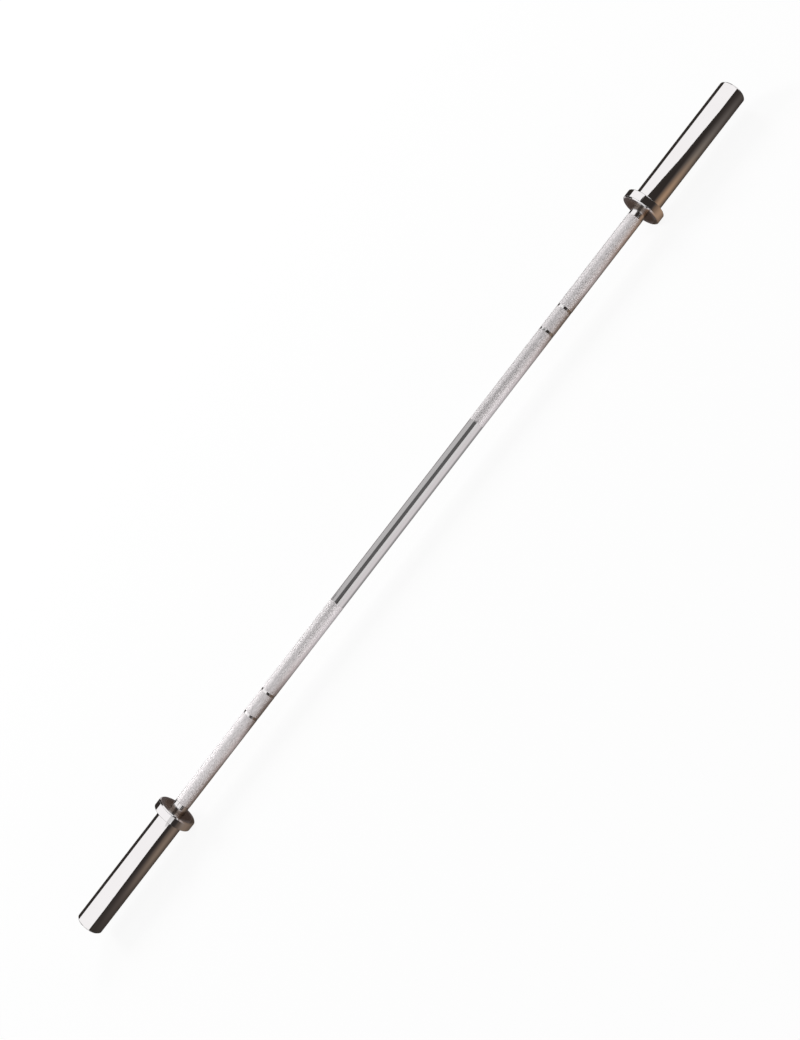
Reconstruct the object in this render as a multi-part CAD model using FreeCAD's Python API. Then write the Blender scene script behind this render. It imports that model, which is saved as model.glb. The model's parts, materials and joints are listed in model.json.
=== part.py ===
# Barbell of the six-foot pattern: a knurled steel shaft with a turning 50 mm sleeve at each end.
# X runs along the bar, Z is up, and the origin is the middle of the shaft on its own axis.
# All sizes are in millimetres. The end pieces are drawn at the right end and turned half round for the left.
import FreeCAD
import Part
import math
import os

# Shaft, as stretches from the middle outwards
GRIP_DIAMETER = 28.0
CENTRE_SMOOTH_LENGTH = 396.0
INNER_KNURL_LENGTH = 195.0
MIDDLE_KNURL_LENGTH = 45.0
OUTER_KNURL_LENGTH = 194.0
RING_MARK_WIDTH = 5.0
END_SMOOTH_LENGTH = 16.0
KNURL_RISE = 0.15

# Shaft ends, turned down to run inside the sleeves
SHOULDER_HEIGHT = 1.5
SHOULDER_INSET = 1.0
SHAFT_TIP_LENGTH = 4.0
SHAFT_TIP_CHAMFER = 1.0
SHAFT_END_GAP = 1.5

# Sleeve tube
SLEEVE_DIAMETER = 50.0
SLEEVE_LENGTH = 240.0
SLEEVE_END_CHAMFER = 2.0
SLEEVE_MOUTH_CHAMFER = 0.8

# Collar, pressed on the turned-down end of the sleeve tube, up to a conical shoulder
COLLAR_DIAMETER = 75.0
COLLAR_THICKNESS = 17.0
COLLAR_LIP = 6.0
COLLAR_SEAT_STEP = 2.0
COLLAR_GRIP_SIDE_CHAMFER = 2.0
COLLAR_PLATE_SIDE_CHAMFER = 1.0
LIP_CLEARANCE = 0.5

# Flanged bronze bushes, one at each end of a sleeve
BUSH_LENGTH = 32.0
BUSH_WALL = 2.45
BUSH_FLANGE_WIDTH = 2.0
BUSH_FLANGE_THICKNESS = 2.5
RUNNING_CLEARANCE = 0.05
END_FLOAT = 0.2

# Thrust and retaining washers on the shaft ends
THRUST_WASHER_THICKNESS = 1.5
RETAINING_WASHER_THICKNESS = 1.5
WASHER_BORE_CLEARANCE = 0.1
WASHER_RIM_CLEARANCE = 0.5

# Round-section dust seal in the lip of the collar
SEAL_CORD_DIAMETER = 2.0
SEAL_SHAFT_CLEARANCE = 0.1
SEAL_GROOVE_CLEARANCE = 0.05
SEAL_GROOVE_PLAY = 0.4

# Snap ring in the groove near the end of the shaft
SNAP_RING_THICKNESS = 1.2
SNAP_GROOVE_DEPTH = 0.55
SNAP_RING_WIDE = 2.8
SNAP_RING_NARROW = 1.6
SNAP_RING_GAP = 3.0
SNAP_LUG_RADIUS = 1.9
SNAP_LUG_REACH = 2.2
SNAP_LUG_HOLE_DIAMETER = 1.7

# End cap and the snap ring that holds it in the mouth of the sleeve
CAP_SEAT_WIDTH = 1.5
CAP_FLANGE_THICKNESS = 4.0
CAP_FIT_CLEARANCE = 0.05
CAP_BOSS_INSET = 0.6
CAP_BOSS_CHAMFER = 0.8
CAP_BOSS_CLEARANCE = 0.8
CAP_DISH_RIM = 2.2
CAP_DISH_DEPTH = 0.5
CAP_RING_INSET = 2.0
CAP_RING_THICKNESS = 1.5
CAP_GROOVE_DEPTH = 1.0
CAP_RING_WIDE = 3.2
CAP_RING_NARROW = 2.2
CAP_RING_GAP = 6.0
CAP_LUG_RADIUS = 2.1
CAP_LUG_REACH = 2.6
CAP_LUG_HOLE_DIAMETER = 2.0

ORIGIN = FreeCAD.Vector(0, 0, 0)
ALONG_BAR = FreeCAD.Vector(1, 0, 0)
UP = FreeCAD.Vector(0, 0, 1)
FULL_TURN = 360.0
HALF_TURN = 180.0

# Radii, from the shaft outwards
grip_radius = GRIP_DIAMETER / 2
knurl_radius = grip_radius + KNURL_RISE
spigot_radius = grip_radius - SHOULDER_HEIGHT
snap_groove_radius = spigot_radius - SNAP_GROOVE_DEPTH
bush_bore_radius = spigot_radius + RUNNING_CLEARANCE
bush_radius = bush_bore_radius + BUSH_WALL
flange_radius = bush_radius + BUSH_FLANGE_WIDTH
washer_bore_radius = spigot_radius + WASHER_BORE_CLEARANCE
washer_radius = flange_radius - WASHER_RIM_CLEARANCE
lip_bore_radius = grip_radius + LIP_CLEARANCE
cap_bore_radius = flange_radius + CAP_SEAT_WIDTH
cap_groove_radius = cap_bore_radius + CAP_GROOVE_DEPTH
cap_boss_radius = cap_groove_radius - CAP_LUG_REACH - CAP_LUG_RADIUS - CAP_BOSS_CLEARANCE
sleeve_radius = SLEEVE_DIAMETER / 2
collar_seat_radius = sleeve_radius - COLLAR_SEAT_STEP
collar_radius = COLLAR_DIAMETER / 2
seal_cord_radius = SEAL_CORD_DIAMETER / 2
seal_line_radius = grip_radius + SEAL_SHAFT_CLEARANCE + seal_cord_radius
seal_groove_radius = seal_line_radius + seal_cord_radius + SEAL_GROOVE_CLEARANCE

# The shaft's visible stretches, each a length and a radius
grip_stretches = [
    (CENTRE_SMOOTH_LENGTH / 2, grip_radius),
    (INNER_KNURL_LENGTH, knurl_radius),
    (RING_MARK_WIDTH, grip_radius),
    (MIDDLE_KNURL_LENGTH, knurl_radius),
    (RING_MARK_WIDTH, grip_radius),
    (OUTER_KNURL_LENGTH, knurl_radius),
    (END_SMOOTH_LENGTH, grip_radius),
]

# Places along X at the right end: the collar, then the inner bush
collar_face_x = sum(length for length, radius in grip_stretches)
lip_back_x = collar_face_x + COLLAR_LIP
plate_stop_x = collar_face_x + COLLAR_THICKNESS
collar_seat_end_x = plate_stop_x - COLLAR_SEAT_STEP
seal_x = collar_face_x + COLLAR_LIP / 2
shoulder_x = lip_back_x + SHOULDER_INSET
inner_washer_back_x = shoulder_x + THRUST_WASHER_THICKNESS
inner_flange_face_x = inner_washer_back_x + END_FLOAT
inner_flange_seat_x = inner_flange_face_x + BUSH_FLANGE_THICKNESS

# Places along X at the right end, from the sleeve's mouth inwards to the outer bush
sleeve_end_x = plate_stop_x + SLEEVE_LENGTH
cap_ring_front_x = sleeve_end_x - CAP_RING_INSET
cap_ring_back_x = cap_ring_front_x - CAP_RING_THICKNESS
cap_seat_x = cap_ring_back_x - CAP_FLANGE_THICKNESS
shaft_end_x = cap_seat_x - SHAFT_END_GAP
snap_ring_front_x = shaft_end_x - SHAFT_TIP_LENGTH
snap_ring_back_x = snap_ring_front_x - SNAP_RING_THICKNESS
retaining_washer_back_x = snap_ring_back_x - RETAINING_WASHER_THICKNESS
outer_washer_back_x = retaining_washer_back_x - THRUST_WASHER_THICKNESS
outer_flange_face_x = outer_washer_back_x - END_FLOAT
outer_flange_seat_x = outer_flange_face_x - BUSH_FLANGE_THICKNESS


def turned(outline):
    """The solid turned by an (x, radius) outline round the bar's axis."""
    points = [FreeCAD.Vector(x, 0, radius) for x, radius in outline]
    wire = Part.makePolygon(points + points[:1])
    return Part.Face(wire).revolve(ORIGIN, ALONG_BAR, FULL_TURN)


def flat_ring(start_x, end_x, inner_radius, outer_radius):
    """A plain ring round the bar's axis."""
    return turned([
        (start_x, inner_radius),
        (end_x, inner_radius),
        (end_x, outer_radius),
        (start_x, outer_radius),
    ])


def rod(start_x, end_x, radius, y=0.0, z=0.0):
    """A round rod along X."""
    return Part.makeCylinder(radius, end_x - start_x, FreeCAD.Vector(start_x, y, z), ALONG_BAR)


def make_shaft():
    """One solid bar: smooth middle, knurled stretches parted by ring marks, and a spigot at each end."""
    right = []
    x = 0.0
    for length, radius in grip_stretches:
        if right:
            right.append((x, radius))
        x += length
        right.append((x, radius))
    right[-1] = (shoulder_x, grip_radius)
    right += [
        (shoulder_x, spigot_radius),
        (snap_ring_back_x, spigot_radius),
        (snap_ring_back_x, snap_groove_radius),
        (snap_ring_front_x, snap_groove_radius),
        (snap_ring_front_x, spigot_radius),
        (shaft_end_x - SHAFT_TIP_CHAMFER, spigot_radius),
        (shaft_end_x, spigot_radius - SHAFT_TIP_CHAMFER),
    ]
    left = [(-x, radius) for x, radius in reversed(right)]
    return turned([(-shaft_end_x, 0.0)] + left + right + [(shaft_end_x, 0.0)])


def make_sleeve_tube():
    """The loading sleeve: a seat for each bush flange, and a grooved mouth for the end cap."""
    return turned([
        (lip_back_x, flange_radius),
        (inner_flange_seat_x, flange_radius),
        (inner_flange_seat_x, bush_radius),
        (outer_flange_seat_x, bush_radius),
        (outer_flange_seat_x, flange_radius),
        (cap_seat_x, flange_radius),
        (cap_seat_x, cap_bore_radius),
        (cap_ring_back_x, cap_bore_radius),
        (cap_ring_back_x, cap_groove_radius),
        (cap_ring_front_x, cap_groove_radius),
        (cap_ring_front_x, cap_bore_radius),
        (sleeve_end_x - SLEEVE_MOUTH_CHAMFER, cap_bore_radius),
        (sleeve_end_x, cap_bore_radius + SLEEVE_MOUTH_CHAMFER),
        (sleeve_end_x, sleeve_radius - SLEEVE_END_CHAMFER),
        (sleeve_end_x - SLEEVE_END_CHAMFER, sleeve_radius),
        (plate_stop_x, sleeve_radius),
        (collar_seat_end_x, collar_seat_radius),
        (lip_back_x, collar_seat_radius),
    ])


def make_sleeve_collar():
    """The collar that plates stop against, with a lip that holds the dust seal round the shaft."""
    groove_half = (SEAL_CORD_DIAMETER + SEAL_GROOVE_PLAY) / 2
    return turned([
        (collar_face_x, lip_bore_radius),
        (seal_x - groove_half, lip_bore_radius),
        (seal_x - groove_half, seal_groove_radius),
        (seal_x + groove_half, seal_groove_radius),
        (seal_x + groove_half, lip_bore_radius),
        (lip_back_x, lip_bore_radius),
        (lip_back_x, collar_seat_radius),
        (collar_seat_end_x, collar_seat_radius),
        (plate_stop_x, sleeve_radius),
        (plate_stop_x, collar_radius - COLLAR_PLATE_SIDE_CHAMFER),
        (plate_stop_x - COLLAR_PLATE_SIDE_CHAMFER, collar_radius),
        (collar_face_x + COLLAR_GRIP_SIDE_CHAMFER, collar_radius),
        (collar_face_x, collar_radius - COLLAR_GRIP_SIDE_CHAMFER),
    ])


def make_bush(flange_face_x, inwards):
    """A flanged bush; inwards is 1 where its barrel runs towards +X from the flange, and -1 the other way."""
    flange_back_x = flange_face_x + inwards * BUSH_FLANGE_THICKNESS
    barrel_end_x = flange_face_x + inwards * BUSH_LENGTH
    return turned([
        (flange_face_x, bush_bore_radius),
        (barrel_end_x, bush_bore_radius),
        (barrel_end_x, bush_radius),
        (flange_back_x, bush_radius),
        (flange_back_x, flange_radius),
        (flange_face_x, flange_radius),
    ])


def make_dust_seal():
    """A rubber ring in the groove of the collar's lip."""
    return Part.makeTorus(seal_line_radius, seal_cord_radius, FreeCAD.Vector(seal_x, 0, 0), ALONG_BAR)


def make_lug_ring(back_x, front_x, seat_radius, outwards, wide, narrow, gap, lug_radius, lug_reach, hole_diameter):
    """A snap ring with two plier lugs at the top. outwards is 1 for a ring that grips a shaft, -1 for one in a bore.

    The ring narrows towards its gap, because its free edge is a circle set off from the bar's axis."""
    free_radius = seat_radius + outwards * (wide + narrow) / 2
    free_offset = -outwards * (wide - narrow) / 2
    lug_line_radius = seat_radius + outwards * lug_reach
    lug_y = gap / 2 + lug_radius
    lug_z = math.sqrt(lug_line_radius ** 2 - lug_y ** 2)
    sides = (-1, 1)

    seat_disc = rod(back_x, front_x, seat_radius)
    free_disc = rod(back_x, front_x, free_radius, z=free_offset)
    lugs = [rod(back_x, front_x, lug_radius, side * lug_y, lug_z) for side in sides]
    holes = [rod(back_x, front_x, hole_diameter / 2, side * lug_y, lug_z) for side in sides]
    slot = Part.makeBox(front_x - back_x, gap, 2 * lug_line_radius, FreeCAD.Vector(back_x, -gap / 2, 0))
    if outwards > 0:
        plate = free_disc.fuse(lugs).cut(seat_disc)
    else:
        plate = seat_disc.cut(free_disc).fuse([lug.common(seat_disc) for lug in lugs])
    return plate.removeSplitter().cut([slot] + holes).Solids[0]


def make_shaft_snap_ring():
    """The ring that keeps the sleeve on the shaft."""
    return make_lug_ring(
        snap_ring_back_x, snap_ring_front_x, snap_groove_radius, 1, SNAP_RING_WIDE, SNAP_RING_NARROW,
        SNAP_RING_GAP, SNAP_LUG_RADIUS, SNAP_LUG_REACH, SNAP_LUG_HOLE_DIAMETER)


def make_end_cap_ring():
    """The ring that keeps the end cap in the sleeve's mouth."""
    return make_lug_ring(
        cap_ring_back_x, cap_ring_front_x, cap_groove_radius, -1, CAP_RING_WIDE, CAP_RING_NARROW,
        CAP_RING_GAP, CAP_LUG_RADIUS, CAP_LUG_REACH, CAP_LUG_HOLE_DIAMETER)


def make_end_cap():
    """A plain turned cap: a flange under the snap ring, and a dished boss that stands through it."""
    boss_x = sleeve_end_x - CAP_BOSS_INSET
    flange_edge_radius = cap_bore_radius - CAP_FIT_CLEARANCE
    dish_radius = cap_boss_radius - CAP_DISH_RIM
    return turned([
        (cap_seat_x, 0.0),
        (cap_seat_x, flange_edge_radius),
        (cap_ring_back_x, flange_edge_radius),
        (cap_ring_back_x, cap_boss_radius),
        (boss_x - CAP_BOSS_CHAMFER, cap_boss_radius),
        (boss_x, cap_boss_radius - CAP_BOSS_CHAMFER),
        (boss_x, dish_radius),
        (boss_x - CAP_DISH_DEPTH, dish_radius - CAP_DISH_DEPTH),
        (boss_x - CAP_DISH_DEPTH, 0.0),
    ])


def make_right_end():
    """Every piece of the right end, by name."""
    return {
        "sleeve_tube": make_sleeve_tube(),
        "sleeve_collar": make_sleeve_collar(),
        "inner_bush": make_bush(inner_flange_face_x, 1),
        "outer_bush": make_bush(outer_flange_face_x, -1),
        "dust_seal": make_dust_seal(),
        "inner_thrust_washer": flat_ring(shoulder_x, inner_washer_back_x, washer_bore_radius, washer_radius),
        "outer_thrust_washer": flat_ring(
            outer_washer_back_x, retaining_washer_back_x, washer_bore_radius, washer_radius),
        "retaining_washer": flat_ring(
            retaining_washer_back_x, snap_ring_back_x, washer_bore_radius, washer_radius),
        "shaft_snap_ring": make_shaft_snap_ring(),
        "end_cap": make_end_cap(),
        "end_cap_ring": make_end_cap_ring(),
    }


def main():
    os.makedirs("parts", exist_ok=True)
    pieces = {"shaft": make_shaft()}
    for name, shape in make_right_end().items():
        pieces["right_" + name] = shape
        pieces["left_" + name] = shape.rotated(ORIGIN, UP, HALF_TURN)
    for name, shape in pieces.items():
        shape.exportStep(f"parts/{name}.step")
        print(f"{name}: {shape.ShapeType}, valid {shape.isValid()}, {shape.Volume / 1000:.2f} cm3")
    print(f"overall length {2 * sleeve_end_x:.1f}, between collars {2 * collar_face_x:.1f}")


main()
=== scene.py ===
# %% [markdown]
# # A barbell with turning sleeves
#
# The real bar is one steel shaft, knurled where hands hold it, with a chromed sleeve that turns on each
# end. The CAD model already holds every piece at its real size, so this lesson dresses it: fine shapes,
# finishes, a floor, light and a camera. The frame is loaded first, so that each new piece can be made in
# the place that the CAD piece already has, with nothing to fit afterwards.

# %% Load the frame
import json
import math

import bmesh
import bpy
from mathutils import Matrix, Vector


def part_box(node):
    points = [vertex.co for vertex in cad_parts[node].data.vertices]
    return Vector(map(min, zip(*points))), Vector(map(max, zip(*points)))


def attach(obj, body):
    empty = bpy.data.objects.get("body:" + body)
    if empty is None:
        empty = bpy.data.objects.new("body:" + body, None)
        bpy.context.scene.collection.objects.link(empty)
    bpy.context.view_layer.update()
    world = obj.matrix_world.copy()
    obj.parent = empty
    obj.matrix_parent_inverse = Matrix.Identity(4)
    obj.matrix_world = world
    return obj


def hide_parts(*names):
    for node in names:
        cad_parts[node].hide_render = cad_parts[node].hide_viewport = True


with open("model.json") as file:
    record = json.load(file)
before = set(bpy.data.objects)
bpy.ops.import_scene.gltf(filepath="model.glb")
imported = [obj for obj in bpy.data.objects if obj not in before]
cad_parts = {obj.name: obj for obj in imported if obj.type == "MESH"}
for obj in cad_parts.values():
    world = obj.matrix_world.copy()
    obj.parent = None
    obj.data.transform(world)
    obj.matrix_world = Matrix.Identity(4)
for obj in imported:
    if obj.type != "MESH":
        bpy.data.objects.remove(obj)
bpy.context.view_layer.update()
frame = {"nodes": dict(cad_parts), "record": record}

MM = 0.001

# %% [markdown]
# ## The camera
#
# The bar crosses the picture on a steep slant, its right end a little nearer. A round bar looks the same
# however it is rolled about its own axis, so the height of the camera is free, and 35 degrees lets the
# floor fill the frame. A Track To constraint would aim a camera at the bar but keep the bar level, so
# here the three axes of the camera are worked out instead: first level with the bar, then rolled until
# the bar takes its slant.

# %% Place the camera
PICTURE_WIDTH = 800
PICTURE_HEIGHT = 1040
BAR_MIDDLE_PIXEL = (406.7, 513.5)
PIXELS_PER_METRE = 574.7
BAR_SLANT = math.radians(52.33)
VIEW_DISTANCE = 2.09
VIEW_YAW = math.radians(1.81)
VIEW_ELEVATION = math.radians(35.0)
SENSOR_WIDTH_MM = 36.0

along_bar = Vector((1.0, 0.0, 0.0))
towards_camera = Vector((
    math.sin(VIEW_YAW),
    -math.cos(VIEW_YAW) * math.cos(VIEW_ELEVATION),
    math.cos(VIEW_YAW) * math.sin(VIEW_ELEVATION),
))
level_right = (along_bar - towards_camera * along_bar.dot(towards_camera)).normalized()
level_up = towards_camera.cross(level_right)
camera_right = level_right * math.cos(BAR_SLANT) - level_up * math.sin(BAR_SLANT)
camera_up = level_right * math.sin(BAR_SLANT) + level_up * math.cos(BAR_SLANT)

focal_pixels = PIXELS_PER_METRE * VIEW_DISTANCE / math.cos(VIEW_YAW)
right_of_middle = (BAR_MIDDLE_PIXEL[0] - PICTURE_WIDTH / 2) * VIEW_DISTANCE / focal_pixels
above_middle = (PICTURE_HEIGHT / 2 - BAR_MIDDLE_PIXEL[1]) * VIEW_DISTANCE / focal_pixels
camera_place = towards_camera * VIEW_DISTANCE - camera_right * right_of_middle - camera_up * above_middle

camera_data = bpy.data.cameras.new("camera")
camera_data.sensor_width = SENSOR_WIDTH_MM
camera_data.lens = focal_pixels / PICTURE_HEIGHT * SENSOR_WIDTH_MM
camera = bpy.data.objects.new("camera", camera_data)
bpy.context.scene.collection.objects.link(camera)
camera_turn = Matrix((camera_right, camera_up, towards_camera)).transposed()
camera.matrix_world = Matrix.Translation(camera_place) @ camera_turn.to_4x4()
bpy.context.scene.camera = camera
bpy.context.scene.view_settings.view_transform = "Standard"
print(f"lens {camera_data.lens:.1f} mm, camera at {[round(c, 3) for c in camera_place]}")

# %% [markdown]
# ## The floor
#
# A bare bar lies on the rims of its two collars, so the floor touches the lowest point of the collars. It
# is plain and pale. A floor lit until it looks white would also lose every shadow, so rays that only
# look, from the camera or from a mirror, are told apart from rays that light. Those that look find the
# floor mostly glowing. The rest of it is paint lit by the room, and that share keeps the soft shadow
# under the bar. It runs out a few metres away, so that floor and room meet without a horizon.

# %% Lay the floor
FLOOR_SIZE = 60.0
FLOOR_COLOUR = (0.9, 0.9, 0.9, 1.0)
NEAR_GLOW_SHARE = 0.85
NEAR_FLOOR = 1.5
FAR_FLOOR = 4.0
GLOW_STRENGTH = 1.06
WHITE = (1.0, 1.0, 1.0, 1.0)

collar_low, collar_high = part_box("right_sleeve_collar")
floor_z = collar_low.z


def new_object(name, bm):
    """Turns a finished bmesh into an object at the origin."""
    mesh = bpy.data.meshes.new(name)
    bm.to_mesh(mesh)
    bm.free()
    made = bpy.data.objects.new(name, mesh)
    bpy.context.scene.collection.objects.link(made)
    return made


def new_glow(name, colour, strength):
    """A plain glowing finish. Returns the material, its node tree and the glowing shader."""
    finish = bpy.data.materials.new(name)
    finish.use_nodes = True
    tree = finish.node_tree
    tree.nodes.clear()
    shader = tree.nodes.new("ShaderNodeEmission")
    shader.inputs["Color"].default_value = colour
    shader.inputs["Strength"].default_value = strength
    out = tree.nodes.new("ShaderNodeOutputMaterial")
    tree.links.new(shader.outputs[0], out.inputs["Surface"])
    return finish, tree, shader


def looking_rays(tree):
    """One for rays from the camera or from a mirror, nought for rays that light."""
    ray = tree.nodes.new("ShaderNodeLightPath")
    looking = ray.outputs["Is Camera Ray"]
    for other in ("Is Glossy Ray", "Is Transmission Ray"):
        either = tree.nodes.new("ShaderNodeMath")
        either.operation = "MAXIMUM"
        tree.links.new(looking, either.inputs[0])
        tree.links.new(ray.outputs[other], either.inputs[1])
        looking = either.outputs[0]
    return looking


floor_finish, tree, floor_glow = new_glow("pale floor", WHITE, GLOW_STRENGTH)
floor_paint = tree.nodes.new("ShaderNodeBsdfDiffuse")
floor_paint.inputs["Color"].default_value = FLOOR_COLOUR
floor_place = tree.nodes.new("ShaderNodeTexCoord")
from_middle = tree.nodes.new("ShaderNodeVectorMath")
from_middle.operation = "LENGTH"
tree.links.new(floor_place.outputs["Object"], from_middle.inputs[0])
glow_share = tree.nodes.new("ShaderNodeMapRange")
glow_share.inputs["From Min"].default_value = NEAR_FLOOR
glow_share.inputs["From Max"].default_value = FAR_FLOOR
glow_share.inputs["To Min"].default_value = NEAR_GLOW_SHARE
tree.links.new(from_middle.outputs["Value"], glow_share.inputs["Value"])
share = tree.nodes.new("ShaderNodeMath")
share.operation = "MULTIPLY"
tree.links.new(looking_rays(tree), share.inputs[0])
tree.links.new(glow_share.outputs["Result"], share.inputs[1])
floor_mix = tree.nodes.new("ShaderNodeMixShader")
tree.links.new(share.outputs[0], floor_mix.inputs["Fac"])
tree.links.new(floor_paint.outputs[0], floor_mix.inputs[1])
tree.links.new(floor_glow.outputs[0], floor_mix.inputs[2])
tree.links.new(floor_mix.outputs[0], tree.nodes["Material Output"].inputs["Surface"])

bm = bmesh.new()
bmesh.ops.create_grid(bm, x_segments=1, y_segments=1, size=FLOOR_SIZE / 2)
bmesh.ops.translate(bm, verts=bm.verts[:], vec=(0.0, 0.0, floor_z))
floor = new_object("floor", bm)
floor.data.materials.append(floor_finish)
print(f"floor {-floor_z / MM:.1f} mm under the bar's axis")

# %% [markdown]
# ## The room
#
# Round the floor stands an even white room. A picture of a studio would do as well, but it brings shapes
# that nobody chose. Rays that look find the room at strength 1, which is white. Rays that light find it
# weaker, so that the lamps can still shape the bar.

# %% Light the room evenly
ROOM_STRENGTH = 0.35
SEEN_STRENGTH = 1.0

room = bpy.data.worlds.new("white room")
room.use_nodes = True
tree = room.node_tree
tree.nodes["Background"].inputs["Color"].default_value = WHITE
room_strength = tree.nodes.new("ShaderNodeMapRange")
room_strength.inputs["To Min"].default_value = ROOM_STRENGTH
room_strength.inputs["To Max"].default_value = SEEN_STRENGTH
tree.links.new(looking_rays(tree), room_strength.inputs["Value"])
tree.links.new(room_strength.outputs["Result"], tree.nodes["Background"].inputs["Strength"])
bpy.context.scene.world = room
print("room:", len(tree.nodes), "nodes")

# %% [markdown]
# ## Lamps
#
# Soft lamps shape what is not a mirror. Each end of the bar has two: a large one high behind it, which
# lights the upper side, and a smaller one low in front, which fills the side towards the camera. The
# middle between the two pairs stays darker, as in the picture. A sun lamp would be simpler but leaves
# hard shadows. The lamps stand far out, beyond the cards that the chrome will mirror, and light linking
# keeps them off the polished pieces, where they would only leave stray bright dots.

# %% Hang the lamps
BACK_LAMP_SIZE = (2.8, 3.4)
BACK_LAMP_OUT = 3.5
BACK_LAMP_Y = 7.3
BACK_LAMP_HEIGHT = 4.2
LEFT_BACK_POWER = 310.0
RIGHT_BACK_POWER = 200.0
FRONT_LAMP_SIZE = (2.0, 1.4)
LEFT_FRONT_LAMP_X = -3.4
RIGHT_FRONT_LAMP_X = 2.9
FRONT_LAMP_Y = -7.8
FRONT_LAMP_HEIGHT = 0.8
LEFT_FRONT_POWER = 68.0
RIGHT_FRONT_POWER = 76.0

mirror_pieces = bpy.data.collections.new("mirror pieces")


def hang_lamp(name, place, size, power):
    """A soft area lamp that looks at the middle of the bar."""
    lamp_data = bpy.data.lights.new(name, "AREA")
    lamp_data.shape = "RECTANGLE"
    lamp_data.size, lamp_data.size_y = size
    lamp_data.energy = power
    lamp = bpy.data.objects.new(name, lamp_data)
    bpy.context.scene.collection.objects.link(lamp)
    lamp.rotation_euler = Vector(place).to_track_quat("Z", "Y").to_euler()
    lamp.location = place
    lamp.visible_camera = False
    lamp.light_linking.receiver_collection = mirror_pieces


def skip_lamps(piece):
    """Keeps the lamps off a polished piece, which then only mirrors the cards."""
    mirror_pieces.objects.link(piece)
    mirror_pieces.collection_objects[-1].light_linking.link_state = "EXCLUDE"


hang_lamp("left softbox", (-BACK_LAMP_OUT, BACK_LAMP_Y, BACK_LAMP_HEIGHT), BACK_LAMP_SIZE, LEFT_BACK_POWER)
hang_lamp("right softbox", (BACK_LAMP_OUT, BACK_LAMP_Y, BACK_LAMP_HEIGHT), BACK_LAMP_SIZE, RIGHT_BACK_POWER)
hang_lamp("left fill", (LEFT_FRONT_LAMP_X, FRONT_LAMP_Y, FRONT_LAMP_HEIGHT), FRONT_LAMP_SIZE,
          LEFT_FRONT_POWER)
hang_lamp("right fill", (RIGHT_FRONT_LAMP_X, FRONT_LAMP_Y, FRONT_LAMP_HEIGHT), FRONT_LAMP_SIZE,
          RIGHT_FRONT_POWER)
print("lamps:", len(bpy.data.lights))

# %% [markdown]
# ## Cards for the chrome
#
# Chrome has no look of its own: it shows what stands round it. In a white room it turns to a pale ghost,
# so a studio hangs white cards over such a bar and dark cloth round it, all just outside the picture. The
# same is done here with flat cards that only mirror rays see. The largest two lie over the ends of the
# bar and give the sleeves their white stripe. A lamp would be simpler, but its straight edge could not
# follow the slanted border between light and dark that the sleeves show.

# %% Hang the white cards over the ends
CARD_COLOUR = (1.0, 0.985, 0.985, 1.0)
CARD_HEIGHT = 1.6
SKY_STRENGTH = 1.17
SKY_BACK_Y = 2.0
SKY_INNER_FRONT_Y = -1.04
SKY_FRONT_Y = -4.2
SKY_INNER_X = 0.68
SKY_END_X = 3.2
LEFT_BORDER = ((-2.24, SKY_FRONT_Y), (-1.5, -1.7), (-0.76, SKY_INNER_FRONT_Y))
RIGHT_BORDER = ((0.76, SKY_INNER_FRONT_Y), (1.165, -0.6), (1.27, -0.97), (1.62, -2.0), (2.65, SKY_FRONT_Y))
EDGE_CARD_FRONT_X = -1.93
EDGE_CARD_STRENGTH = 0.8
SIDE_CARD_Y = -3.4
SIDE_CARD_TOP_X = -1.936
SIDE_CARD_FOOT_X = -2.4
SIDE_CARD_FOOT = 0.72


def for_mirror_rays_only(card):
    """A card outside the picture: chrome sees it, and it neither shows nor throws a shadow."""
    card.visible_camera = False
    card.visible_diffuse = False
    card.visible_transmission = False
    card.visible_volume_scatter = False
    card.visible_shadow = False


def hang_card(name, corners, strength, colour=CARD_COLOUR):
    """One flat glowing card through a few corners."""
    bm = bmesh.new()
    bm.faces.new([bm.verts.new(corner) for corner in corners])
    card = new_object(name, bm)
    card.data.materials.append(new_glow(name, colour, strength)[0])
    for_mirror_rays_only(card)


def overhead(*corners, drop=0.0):
    """Corners given as (x, y), at the height of the overhead cards or a little lower."""
    return [(x, y, CARD_HEIGHT - drop) for x, y in corners]


hang_card("left_sky_card", overhead(
    (-SKY_INNER_X, SKY_BACK_Y), (-SKY_END_X, SKY_BACK_Y), (-SKY_END_X, SKY_FRONT_Y),
    *LEFT_BORDER, (-SKY_INNER_X, SKY_INNER_FRONT_Y)), SKY_STRENGTH)
hang_card("left_edge_card", overhead(
    *reversed(LEFT_BORDER), (EDGE_CARD_FRONT_X, SKY_FRONT_Y)), EDGE_CARD_STRENGTH)
hang_card("right_sky_card", overhead(
    (SKY_INNER_X, SKY_BACK_Y), (SKY_INNER_X, SKY_INNER_FRONT_Y), *RIGHT_BORDER,
    (SKY_END_X, SKY_FRONT_Y), (SKY_END_X, SKY_BACK_Y)), SKY_STRENGTH)
hang_card("left_side_card", [
    (SIDE_CARD_TOP_X, SIDE_CARD_Y, CARD_HEIGHT), (SIDE_CARD_FOOT_X, SIDE_CARD_Y, SIDE_CARD_FOOT),
    (-SKY_END_X, SIDE_CARD_Y, SIDE_CARD_FOOT), (-SKY_END_X, SIDE_CARD_Y, CARD_HEIGHT)], SKY_STRENGTH)

# %% [markdown]
# The grip mirrors less white. A grey card over the middle and a pale one in front give the smooth centre
# its two pale stripes, and a dim card between them the dark stripe that parts them. Darker cards lie
# between the grey card and the white ones, and small shades hang right under the white ones, so that the
# knurl gets its grey line. One more bright card at the back lifts the left knurl. A single card with a
# painted ramp could replace them all, but flat cards can be moved one by one until each stripe sits
# right.

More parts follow.
